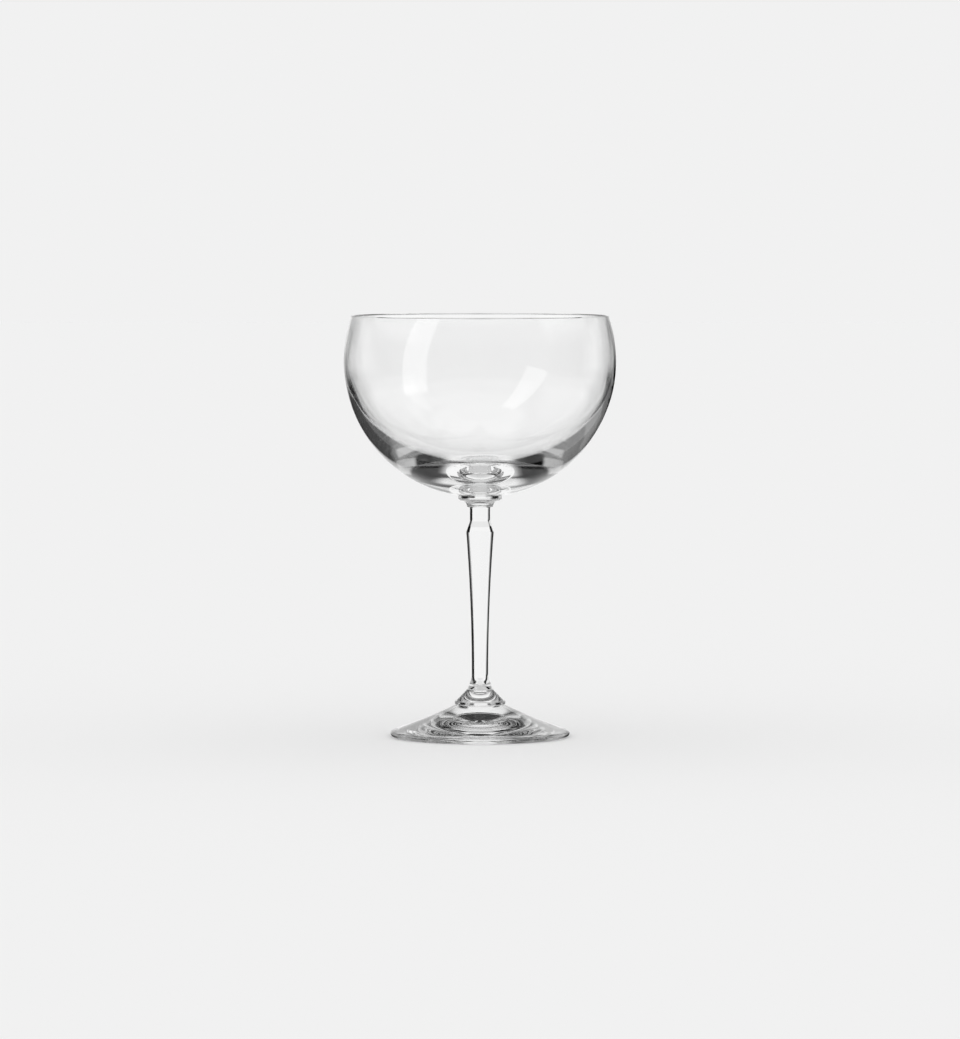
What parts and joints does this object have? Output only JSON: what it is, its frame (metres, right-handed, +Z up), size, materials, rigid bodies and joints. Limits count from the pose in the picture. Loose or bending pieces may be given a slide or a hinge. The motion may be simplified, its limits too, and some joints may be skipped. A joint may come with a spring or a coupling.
{
  "type": "coupe glass",
  "caption": "Clear stemmed coupe glass: round blown bowl with a thick bottom, faceted stem between wafer collars, and a spread foot with a hollow underside.",
  "frame": {"origin": "on the table, at the centre of the foot's resting ring", "axes": "+Z up along the glass's axis, +X and +Y square to the stem's flat facets"},
  "size_m": [0.1076, 0.1076, 0.1666],
  "materials": {
    "glass": "clear, polished"
  },
  "bodies": {
    "root": {"bowl": "glass", "upper_collar": "glass", "stem": "glass", "lower_collar": "glass", "foot": "glass"}
  },
  "joints": []
}
